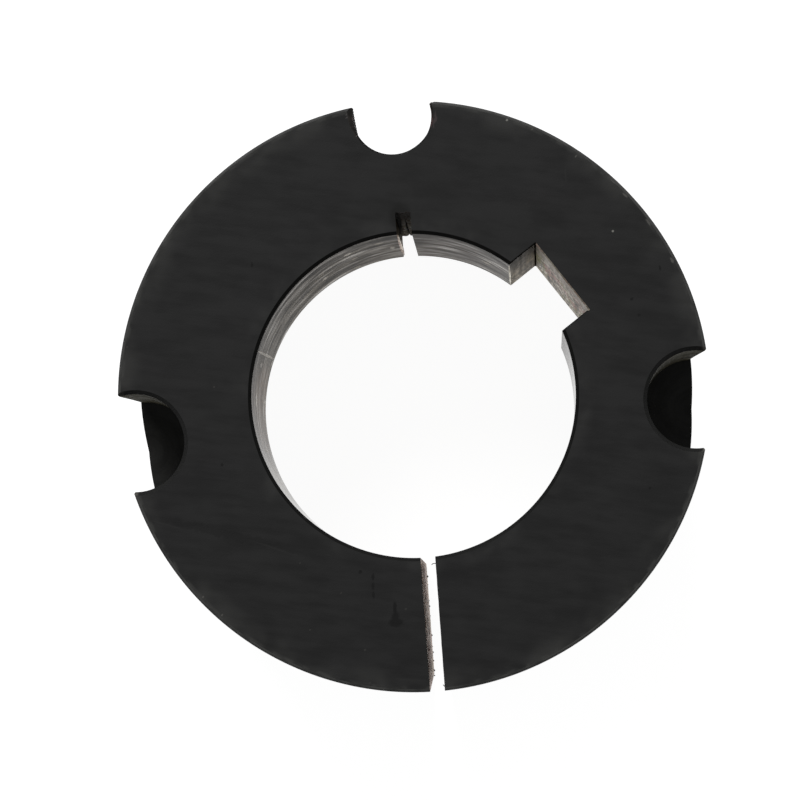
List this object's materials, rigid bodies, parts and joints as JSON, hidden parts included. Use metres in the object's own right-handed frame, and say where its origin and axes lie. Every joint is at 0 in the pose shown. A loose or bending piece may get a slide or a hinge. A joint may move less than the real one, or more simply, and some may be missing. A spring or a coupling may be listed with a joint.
{
  "type": "taper bush",
  "caption": "Split tapered clamping bush with a keyed shaft bore, plain and tapped half holes for its screws, and a relief slit.",
  "frame": {"origin": "on the bore's axis, in the plane of the small end's face, on which the bush stands", "axes": "+Z along the bore's axis towards the large end, +X from the axis through the middle of the keyway"},
  "size_m": [0.07, 0.07, 0.0318],
  "materials": {
    "phosphated_iron": "matt black phosphate on the outside, bare machined iron in the bore, keyway and saw cuts"
  },
  "bodies": {
    "root": {"taper_bush": "phosphated_iron"}
  },
  "joints": []
}
